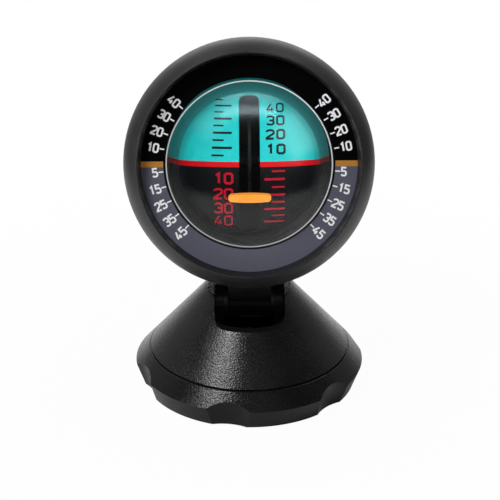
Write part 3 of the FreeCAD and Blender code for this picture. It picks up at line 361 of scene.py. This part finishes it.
# The white line is a painted highlight, white and glowing, on the part of the raised rib between these
# angles, each with a soft edge in radians. It is further from the middle of the ball than the dome beside
# it.
RIB_FROM, RIB_TO = 50.3, 51.3
RIB_EDGE = 0.004
RIB_REACH = 30.8 * MM
RIB_HIGHLIGHT_WHITE, RIB_ROUGHNESS, RIB_HIGHLIGHT_GLOW = 0.85, 0.3, 0.25


def dome_shell(graph, angle):
    """Clear plastic with a soft gloss, painted darker towards the rim as painted shade."""
    facing = graph.node("ShaderNodeLayerWeight")
    facing.inputs["Blend"].default_value = 0.5
    grazing = graph.maths("POWER", facing.outputs["Facing"], GRAZING_POWER)
    share = graph.maths("ADD", graph.maths("MULTIPLY", grazing, DOME_GRAZING), DOME_MIRROR)
    shade = graph.remap(angle, math.radians(SHADE_FROM), math.radians(SHADE_TO), smooth=True)
    through = graph.node("ShaderNodeBsdfTransparent")
    graph.feed(through.inputs["Color"], graph.mix(shade, CLEAR, PAINTED_RIM_SHADE))
    mirror = graph.node("ShaderNodeBsdfGlossy")
    mirror.inputs["Color"].default_value = grey(1.0)
    mirror.inputs["Roughness"].default_value = DOME_ROUGHNESS
    graph.feed(mirror.inputs["Normal"], graph.bump(graph.noise(SWIRL), SWIRL_RELIEF))
    return graph.mix_shader(share, through.outputs[0], mirror.outputs[0])


def dome_haze(graph, angle):
    """How hazy the dome is, from 0 to 1: milky haze near the rim, made denser towards the foot as a painted
    reflection of the floor.
    """
    rim = graph.remap(angle, math.radians(HAZE_FROM), math.radians(RIB_FROM), smooth=True)
    height = graph.along(UP)
    strength = graph.remap(height, HAZE_FOOT, HAZE_TOP, HAZE_AND_REFLECTION_AT_FOOT, HAZE_AT_TOP, smooth=True)
    return graph.maths("MULTIPLY", rim, strength)


def dome_line(graph, angle):
    """Where the rib's painted highlight, a white line, is: 1 on it and 0 beside it."""
    inner, outer = math.radians(RIB_FROM), math.radians(RIB_TO)
    after = graph.remap(angle, inner - RIB_EDGE, inner + RIB_EDGE)
    before = graph.remap(angle, outer - RIB_EDGE, outer + RIB_EDGE, 1.0, 0.0)
    reach = graph.vectors("DISTANCE", graph.place, BALL_CENTRE)
    proud = graph.maths("GREATER_THAN", reach, RIB_REACH)
    return graph.maths("MULTIPLY", graph.maths("MULTIPLY", after, before), proud)


def clear_dome():
    """Clear dome, hazy and darker with painted shade towards its raised rib, whose white line is a painted
    highlight.
    """
    graph = material_graph("clear_dome")
    angle = graph.maths("ARCTAN2", graph.dial_radius(), graph.along(OUT))
    milk_and_reflection = graph.node("ShaderNodeBsdfDiffuse")
    milk_and_reflection.inputs["Color"].default_value = grey(HAZE_AND_REFLECTION_WHITE)
    clear = graph.mix_shader(dome_haze(graph, angle), dome_shell(graph, angle), milk_and_reflection.outputs[0])
    lit = {"Emission_Color": grey(1.0), "Emission_Strength": RIB_HIGHLIGHT_GLOW}
    line = graph.principled(grey(RIB_HIGHLIGHT_WHITE), RIB_ROUGHNESS, **lit)
    return graph.finish(graph.mix_shader(dome_line(graph, angle), clear, line))


CASE_BLACK = rgb(0.0065, 0.0065, 0.007)
BEZEL_BLACK = rgb(0.010, 0.010, 0.0105)

# The numbers after the colours of ball_skin and ink are painted glow: emission that brightens the ball,
# marker and inks beyond the lamps.
finishes = {
    "cone": spark_plastic("cone_plastic", CASE_BLACK, 0.23, 0.50 * MM, 0.045 * MM, specular=0.38),
    "ring": spark_plastic("ring_plastic", CASE_BLACK, 0.19, 0.50 * MM, 0.04 * MM, specular=0.28),
    "bezel": spark_plastic("bezel_plastic", BEZEL_BLACK, 0.43, 0.22 * MM, 0.012 * MM, specular=0.42),
    "housing": spark_plastic("housing_plastic", CASE_BLACK, 0.46, 0.26 * MM, 0.02 * MM),
    "neck": smooth_plastic("neck_plastic", rgb(0.005, 0.005, 0.0055), 0.35, specular=0.2),
    "inner": smooth_plastic("inner_plastic", rgb(0.006, 0.006, 0.0065), 0.5),
    "dial": dial_face(),
    "teal": ball_skin("ball_teal", rgb(0.018, 0.60, 0.60), 0.20),
    "ball_black": ball_skin("ball_black", rgb(0.004, 0.005, 0.006), 0.0),
    "red": ball_skin("band_red", rgb(0.75, 0.004, 0.012), 0.12),
    "orange": ball_skin("marker_orange", rgb(1.0, 0.36, 0.045), 0.30),
    "sheet": metal("pendulum_sheet", rgb(0.05, 0.05, 0.055), 0.4),
    "brass": metal("weight_brass", rgb(0.060, 0.045, 0.022), 0.4),
    "steel": metal("screw_steel", rgb(0.50, 0.50, 0.52), 0.32),
    "washer": smooth_plastic("washer_plastic", rgb(0.012, 0.012, 0.0125), 0.45),
    "seal": foam("seal_rubber", rgb(0.02, 0.02, 0.02)),
    "pad": foam("pad_rubber", rgb(0.07, 0.07, 0.072)),
    "dome": clear_dome(),
    "white_ink": ink("white_ink", rgb(0.86, 0.86, 0.88), 0.25),
    "orange_ink": ink("orange_ink", rgb(0.60, 0.24, 0.03), 0.05),
    "black_ink": ink("black_ink", rgb(0.004, 0.010, 0.011), specular=IMMERSED),
    "red_ink": ink("red_ink", rgb(0.50, 0.006, 0.024), 0.13, IMMERSED),
}

nodes_of_finish = {
    "cone": ["cone_shell"],
    "ring": ["grip_ring"],
    "bezel": ["bezel"],
    "housing": ["rear_housing"],
    "neck": ["neck", "turret_yoke"],
    "inner": ["base_plate", "spacer_ring", "capsule_cup", "roll_frame"],
    "dial": ["dial_plate"],
    "teal": ["upper_shell"],
    "ball_black": ["lower_shell"],
    "red": ["horizon_band"],
    "orange": ["pitch_marker"],
    "sheet": ["pitch_plate"],
    "brass": ["roll_ballast", "roll_bush", "pitch_weight"],
    "steel": [
        "base_screws",
        "spring_washer",
        "swivel_bolt",
        "yoke_screws",
        "tilt_bolt",
        "tilt_nut",
        "neck_screws",
        "roll_axle",
        "pitch_axle",
        "weight_rivet",
    ],
    "washer": ["friction_washer", "tilt_washers"],
    "seal": ["capsule_seal", "capsule_gasket", "filler_plug"],
    "pad": ["adhesive_pad"],
    "dome": ["capsule_dome"],
}
for finish, members in nodes_of_finish.items():
    for member in members:
        materials = nodes_by_name[member].data.materials
        materials.clear()
        materials.append(finishes[finish])


# ---------------------------------------------------------------------------------------------
# Print: strokes drawn flat in the dial's plane and laid on the plate or on the ball as thin ink
# ---------------------------------------------------------------------------------------------
INK_ABOVE = 0.035 * MM
INK_BELOW = 0.02 * MM
LONGEST_STEP = 0.6 * MM
# A corner's mitre is at most 1 / MITRE_LIMIT times half the stroke's width.
MITRE_LIMIT = 0.5

# Strokes of the digits, each a path and whether it closes, in a box one high and DIGIT_WIDTH wide from
# its lower left corner. Round digits have corners cut by CUT: SIDE and TOP are where the cuts end. WAIST
# is the middle of the 3, BOWL the top of the 5's bowl, and STEM where the 1 stands and the 4 starts.
DIGIT_WIDTH = 0.56
CUT = 0.13
SIDE = DIGIT_WIDTH - CUT
TOP = 1 - CUT
WAIST = 0.5
BOWL = 0.57
STEM = 0.34
HEAD_BOW = [(0, TOP), (CUT, 1), (SIDE, 1), (DIGIT_WIDTH, TOP)]
FOOT_BOW = [(DIGIT_WIDTH, CUT), (SIDE, 0), (CUT, 0), (0, CUT)]
DIGITS = {
    "0": [(HEAD_BOW + FOOT_BOW, True)],
    "1": [([(0.12, 0.80), (STEM, 1), (STEM, 0)], False)],
    "2": [([(0, 0.80)] + HEAD_BOW + [(DIGIT_WIDTH, 0.62), (0, 0.10), (0, 0), (DIGIT_WIDTH, 0)], False)],
    "3": [
        (HEAD_BOW + [(DIGIT_WIDTH, WAIST + CUT), (SIDE, WAIST), (0.2, WAIST)], False),
        ([(SIDE, WAIST), (DIGIT_WIDTH, WAIST - CUT)] + FOOT_BOW, False),
    ],
    "4": [
        ([(STEM, 1), (0, 0.30), (0, 0.24), (DIGIT_WIDTH, 0.24)], False),
        ([(0.40, 0.50), (0.40, 0)], False),
    ],
    "5": [
        (
            [(DIGIT_WIDTH, 1), (0.03, 1), (0.03, BOWL), (SIDE, BOWL), (DIGIT_WIDTH, BOWL - CUT)] + FOOT_BOW,
            False,
        )
    ],
}


def divided(points, closed):
    """The same path with no step longer than LONGEST_STEP."""
    path = []
    count = len(points) if closed else len(points) - 1
    for number in range(count):
        start = Vector(points[number])
        end = Vector(points[(number + 1) % len(points)])
        steps = max(1, math.ceil((end - start).length / LONGEST_STEP))
        path += [start.lerp(end, step / steps) for step in range(steps)]
    if not closed:
        path.append(Vector(points[-1]))
    return path


def edges_of(path, width, closed):
    """The left and right edges of a stroke with mitred corners."""
    left, right = [], []
    for number, point in enumerate(path):
        ways = []
        if closed or number > 0:
            ways.append((point - path[number - 1]).normalized())
        if closed or number < len(path) - 1:
            ways.append((path[(number + 1) % len(path)] - point).normalized())
        normals = [Vector((-way.y, way.x)) for way in ways]
        mean = sum(normals, Vector((0, 0))).normalized()
        reach = width / 2 / max(MITRE_LIMIT, mean.dot(normals[0]))
        left.append(point + mean * reach)
        right.append(point - mean * reach)
    return left, right


def on_plate(x, y, above):
    """A point over the dial plate."""
    return in_dial(x, y, DIAL_FRONT + above)


def on_ball(x, y, above):
    """A point over the ball's skin that lies at x and y as seen along the dial's axis."""
    depth = math.sqrt(BALL_RADIUS**2 - x * x - y * y)
    return in_dial(x, y, depth) + (ACROSS * x + UP * y + OUT * depth).normalized() * above


class Print:
    """One colour of ink on one surface, gathered stroke by stroke into one mesh."""

    def __init__(self, name, surface, finish, body, slot):
        self.name = name
        self.surface = surface
        self.finish = finish
        self.body = body
        self.slot = slot
        self.mesh = bmesh.new()

    def stroke(self, points, width, closed=False):
        """A stroke of one width along a path."""
        left, right = edges_of(divided(points, closed), width, closed)
        rings = []
        for one, other in zip(left, right):
            corners = ((one, INK_ABOVE), (other, INK_ABOVE), (other, -INK_BELOW), (one, -INK_BELOW))
            rings.append([self.mesh.verts.new(self.surface(p.x, p.y, above)) for p, above in corners])
        last = len(rings) if closed else len(rings) - 1
        for number in range(last):
            first, second = rings[number], rings[(number + 1) % len(rings)]
            for side, corner in enumerate(first):
                following = (side + 1) % len(first)
                self.mesh.faces.new((corner, first[following], second[following], second[side]))
        if not closed:
            self.mesh.faces.new(reversed(rings[0]))
            self.mesh.faces.new(rings[-1])

    def digits(self, words, centre, size, pitch, width, along=Vector((1, 0)), stretch=1.0):
        """Digits centred on a point and written along a direction, each pitch times size from the next."""
        upward = Vector((-along.y, along.x))
        length = (len(words) - 1) * pitch + DIGIT_WIDTH
        for number, digit in enumerate(words):
            for points, closed in DIGITS[digit]:
                placed = []
                for x, y in points:
                    right = (number * pitch + x - length / 2) * size * stretch
                    placed.append(centre + along * right + upward * (y - 0.5) * size)
                self.stroke(placed, width, closed)

    def build(self):
        """Makes the piece, which rides on its body, and gives it back."""
        bmesh.ops.recalc_face_normals(self.mesh, faces=self.mesh.faces)
        made = add_mesh(self.name, self.mesh)
        made.data.materials.append(finishes[self.finish])
        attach(made, self.body)
        return made


TICK_FROM = 24.9 * MM
TICK_TO = 26.3 * MM
TICK_WIDTH = 0.38 * MM
NUMERAL_FROM = 26.45 * MM
DIAL_DIGIT = 2.3 * MM
DIAL_PITCH = 0.78
DIAL_STROKE = 0.52 * MM
DIAL_MARKS = [*range(10, 50, 10), *range(-5, -50, -10)]


def dial_print():
    """Roll scale round the dial: tens above the horizon, odd fives below it, on both sides."""
    scale = Print("dial_print_white", on_plate, "white_ink", "head", "dial_face")
    for side in (1, -1):
        for mark in DIAL_MARKS:
            angle = math.radians(mark)
            outward = Vector((side * math.cos(angle), math.sin(angle)))
            scale.stroke([outward * TICK_FROM, outward * TICK_TO], TICK_WIDTH)
            words = str(abs(mark))
            length = ((len(words) - 1) * DIAL_PITCH + DIGIT_WIDTH) * DIAL_DIGIT
            centre = outward * (NUMERAL_FROM + DIAL_STROKE / 2 + length / 2)
            scale.digits(words, centre, DIAL_DIGIT, DIAL_PITCH, DIAL_STROKE, along=outward * side)
    scale.build()


HORIZON_MARK = 1.68 * MM
HORIZON_MARK_GAP = 0.02 * MM


def dial_bands():
    """The orange horizon marks at three and nine o'clock, just short of the plate's visible edges."""
    bands = Print("dial_print_orange", on_plate, "orange_ink", "head", "dial_face")
    inner = DIAL_HOLE_RADIUS + HORIZON_MARK_GAP
    outer = DIAL_WINDOW_RADIUS - HORIZON_MARK_GAP
    for side in (1, -1):
        bands.stroke([Vector((side * inner, 0)), Vector((side * outer, 0))], HORIZON_MARK)
    bands.build()


# Widths of the pitch scale's ticks and digit strokes, and heights of its digits, at the horizon.
BALL_TICK = {"long": 0.68 * MM, "short": 0.52 * MM}
BALL_STROKE = 0.68 * MM
UPPER_DIGIT = 2.43 * MM
LOWER_DIGIT = 2.80 * MM
# Degrees of latitude on the ball for each degree of the scale.
UPPER_LATITUDE = 0.98
LOWER_LATITUDE = 1.045
# How fast widths and digits shorten away from the horizon.
STROKE_FORESHORTENING = 1.2
UPPER_FORESHORTENING = 0.7
LOWER_FORESHORTENING = 0.4
# Ends of the ticks across the ball. The upper ones start a little further right with each degree.
UPPER_TICK_LEFT = -11.1 * MM
UPPER_TICK_SHIFT = 0.033 * MM
UPPER_TICK_RIGHT = {"long": -5.05 * MM, "short": -7.4 * MM}
LOWER_TICK_LEFT = {"long": 4.2 * MM, "short": 6.4 * MM}
LOWER_TICK_RIGHT = 10.1 * MM
LAST_LOWER_TICK = 40
# Middles of the digits across the ball, how far they are below or above their tick's height, which the
# upper ones are more with each degree, and how they are spaced and stretched.
UPPER_DIGITS = 7.5 * MM
LOWER_DIGITS = -7.55 * MM
UPPER_DROP = 0.40 * MM
UPPER_DROP_SHIFT = 0.006 * MM
LOWER_LIFT = 0.30 * MM
UPPER_PITCH, UPPER_STRETCH = 0.86, 1.5
LOWER_PITCH, LOWER_STRETCH = 0.80, 1.34


def ball_height(degrees):
    """Height over the ball's axis of a mark of the pitch scale."""
    share = UPPER_LATITUDE if degrees > 0 else LOWER_LATITUDE
    rise = math.degrees(math.asin(SIGHT_RISE / BALL_RADIUS))
    return BALL_RADIUS * math.sin(math.radians(rise + share * degrees))


def flattened(size, degrees, share):
    """A size on the ball as it looks along the dial's axis, foreshortened away from the horizon."""
    return size * math.cos(math.radians(share * degrees))


def level_tick(layer, left, right, degrees, width):
    """A tick from left to right across the ball at a mark of the scale."""
    height = ball_height(degrees)
    layer.stroke([Vector((left, height)), Vector((right, height))], width)


def ball_ticks(upper, lower):
    """A tick each five degrees, long at the tens: left of the gap above the horizon, right of it below."""
    for degrees in range(5, 50, 5):
        kind = "short" if degrees % 10 else "long"
        width = flattened(BALL_TICK[kind], degrees, STROKE_FORESHORTENING)
        left = UPPER_TICK_LEFT + UPPER_TICK_SHIFT * degrees
        level_tick(upper, left, UPPER_TICK_RIGHT[kind], degrees, width)
        if degrees <= LAST_LOWER_TICK:
            level_tick(lower, LOWER_TICK_LEFT[kind], LOWER_TICK_RIGHT, -degrees, width)


def ball_digits(upper, lower):
    """The tens: right of the gap above the horizon, left of it below."""
    for degrees in range(10, 50, 10):
        words = str(degrees)
        width = flattened(BALL_STROKE, degrees, STROKE_FORESHORTENING)
        drop = UPPER_DROP + UPPER_DROP_SHIFT * degrees
        centre = Vector((UPPER_DIGITS, ball_height(degrees) - drop))
        size = flattened(UPPER_DIGIT, degrees, UPPER_FORESHORTENING)
        upper.digits(words, centre, size, UPPER_PITCH, width, stretch=UPPER_STRETCH)
        centre = Vector((LOWER_DIGITS, ball_height(-degrees) + LOWER_LIFT))
        size = flattened(LOWER_DIGIT, degrees, LOWER_FORESHORTENING)
        lower.digits(words, centre, size, LOWER_PITCH, width, stretch=LOWER_STRETCH)


def ball_print():
    """Pitch scale: black on teal above the horizon and red on black below it."""
    upper = Print("ball_print_black", on_ball, "black_ink", "ball", "ball_teal")
    lower = Print("ball_print_red", on_ball, "red_ink", "ball", "band_red")
    ball_ticks(upper, lower)
    ball_digits(upper, lower)
    return [upper.build(), lower.build()]


dial_print()
dial_bands()
ball_prints = ball_print()


# ---------------------------------------------------------------------------------------------
# Floor, light and camera
# ---------------------------------------------------------------------------------------------
# The camera sees the floor white, with a share of lit paper near the object for its shadow. Mirrors and
# glass see it white too, but for the part under the object. The shares of white grow between distances
# from the middle of the floor.
FLOOR_RADIUS = 0.205
PAPER = 0.62
WHITE_SHARE = 0.97
WHITE_FROM, WHITE_TO = 0.04, 0.9 * FLOOR_RADIUS
MIRRORED_SHARE = 0.08
MIRRORED_FROM, MIRRORED_TO = 0.042, 0.052


def floor():
    """A round pale table that keeps the object's soft shadow."""
    mesh = bmesh.new()
    bmesh.ops.create_circle(mesh, cap_ends=True, segments=128, radius=FLOOR_RADIUS)
    made = add_mesh("floor", mesh)
    graph = material_graph("floor")
    paper = graph.principled(grey(PAPER), 0.9)
    white = graph.node("ShaderNodeEmission")
    white.inputs["Color"].default_value = grey(1.0)
    in_view, bent = graph.rays()
    away = graph.vectors("LENGTH", graph.place)
    viewed = graph.remap(away, WHITE_FROM, WHITE_TO, WHITE_SHARE, 1.0, smooth=True)
    mirrored = graph.remap(away, MIRRORED_FROM, MIRRORED_TO, MIRRORED_SHARE, 1.0, smooth=True)
    viewed = graph.maths("MULTIPLY", viewed, in_view)
    mirrored = graph.maths("MULTIPLY", mirrored, bent)
    share = graph.maths("MAXIMUM", viewed, mirrored)
    made.data.materials.append(graph.finish(graph.mix_shader(share, paper, white.outputs[0])))


def add_facing(name, data, centre, azimuth, elevation, distance):
    """Adds a lamp or camera that faces a point. Azimuth is from the front to the right, in degrees."""
    made = bpy.data.objects.new(name, data)
    turn, rise = math.radians(azimuth), math.radians(elevation)
    away = Vector((math.sin(turn) * math.cos(rise), -math.cos(turn) * math.cos(rise), math.sin(rise)))
    made.location = centre + away * distance
    made.rotation_euler = (-away).to_track_quat("-Z", "Y").to_euler()
    bpy.context.scene.collection.objects.link(made)
    return made


LIGHT_DISTANCE = 0.8
LIGHT_CENTRE = Vector((0, 0, 0.05))
COOL = (0.75, 0.92, 1.0)
INSIDE_DOME = ("upper_shell", "horizon_band", "lower_shell", "pitch_marker")

# Lamps by what they light: name, azimuth and elevation in degrees, width and height in metres, power in
# watts, and colour if it isn't white.
CASE_LAMPS = [
    ("key", -48, 51, (0.26, 0.20), 3.4),
    ("front", 12, 30, (0.40, 0.30), 0.3),
    ("low_left", -76, 8, (0.25, 0.30), 2.1),
    ("low_right", 74, 6, (0.25, 0.30), 0.8),
    ("side_left", -116, 20, (0.50, 0.40), 0.22),
    ("side_right", 116, 20, (0.50, 0.40), 0.18),
    ("high_back_right", 135, 58, (0.40, 0.30), 0.9),
    ("high_back_left", -140, 55, (0.40, 0.30), 0.7),
    ("low_back", 180, 12, (0.60, 0.25), 0.8),
]
DOME_LAMPS = [
    ("glint_right", 74, 36, (0.60, 0.60), 3.0),
    ("glint_left", -75, 50, (0.40, 0.40), 0.5),
    ("glint_front", 0, 83, (0.80, 0.13), 2.9, COOL),
    ("glint_back", 180, 78, (0.80, 0.09), 2.9, COOL),
]
BALL_LAMPS = [
    ("ball_left", -35, 32, (0.90, 0.80), 3.9),
    ("ball_right", 45, 28, (0.90, 0.80), 5.4),
]


def area_light(name, azimuth, elevation, size, power, tint=(1, 1, 1)):
    """A soft box that faces the object."""
    data = bpy.data.lights.new(name, "AREA")
    data.shape = "RECTANGLE"
    data.size, data.size_y = size
    data.energy = power
    data.color = tint
    return add_facing(name, data, LIGHT_CENTRE, azimuth, elevation, LIGHT_DISTANCE)


def receivers(name, members, state="INCLUDE"):
    """What a group of lamps lights: the members, or all but the members if state is EXCLUDE."""
    made = bpy.data.collections.new(name)
    for number, member in enumerate(members):
        made.objects.link(member)
        made.collection_objects[number].light_linking.link_state = state
    return made


def lights():
    """Soft boxes round the object in three groups: for the dome, for what is inside it, for the rest."""
    dome = [nodes_by_name["capsule_dome"]]
    inside = [nodes_by_name[name] for name in INSIDE_DOME] + ball_prints
    groups = [
        (CASE_LAMPS, receivers("on_case", dome + inside, "EXCLUDE")),
        (DOME_LAMPS, receivers("on_dome", dome)),
        (BALL_LAMPS, receivers("on_ball", inside)),
    ]
    for lamps, lit in groups:
        for lamp in lamps:
            area_light(*lamp).light_linking.receiver_collection = lit


# The world lights the object as a grey studio. Mirrored, its front is darker, and the white backdrop
# comes in between these two values of the direction's Y.
STUDIO_LIGHT = 0.14
STUDIO_MIRRORED = 0.04
BACKDROP_FROM, BACKDROP_TO = 0.5, 1.1


def world():
    """Grey studio for the light, with a white backdrop behind the object in view and in reflections."""
    graph = Graph(bpy.data.worlds.new("studio"), "ShaderNodeOutputWorld")

    def background(strength):
        made = graph.node("ShaderNodeBackground")
        made.inputs["Color"].default_value = grey(1.0)
        made.inputs["Strength"].default_value = strength
        return made.outputs[0]

    in_view, bent = graph.rays()
    direction = graph.node("ShaderNodeSeparateXYZ")
    graph.feed(direction.inputs[0], graph.coordinates["Generated"])
    backdrop = graph.remap(direction.outputs["Y"], BACKDROP_FROM, BACKDROP_TO, smooth=True)
    white = background(1.0)
    mirrored = graph.mix_shader(backdrop, background(STUDIO_MIRRORED), white)
    indirect = graph.mix_shader(bent, background(STUDIO_LIGHT), mirrored)
    bpy.context.scene.world = graph.finish(graph.mix_shader(in_view, indirect, white))


# Fitted to the photograph's outlines of the bezel, the dial, the seam and the base. Lens and sensor are
# in millimetres.
CAMERA_ELEVATION = 27.17
CAMERA_AZIMUTH = -0.8
CAMERA_DISTANCE = 1.0
CAMERA_TARGET = Vector((0.24 * MM, 0, 42.38 * MM))
CAMERA_LENS = 245.4
SENSOR_WIDTH = 36.0
CLIP_START, CLIP_END = 0.05, 20


def camera():
    """The photograph's view."""
    data = bpy.data.cameras.new("camera")
    data.sensor_width = SENSOR_WIDTH
    data.lens = CAMERA_LENS
    data.clip_start = CLIP_START
    data.clip_end = CLIP_END
    made = add_facing("camera", data, CAMERA_TARGET, CAMERA_AZIMUTH, CAMERA_ELEVATION, CAMERA_DISTANCE)
    bpy.context.scene.camera = made


floor()
lights()
world()
camera()
bpy.context.scene.view_settings.view_transform = "Standard"
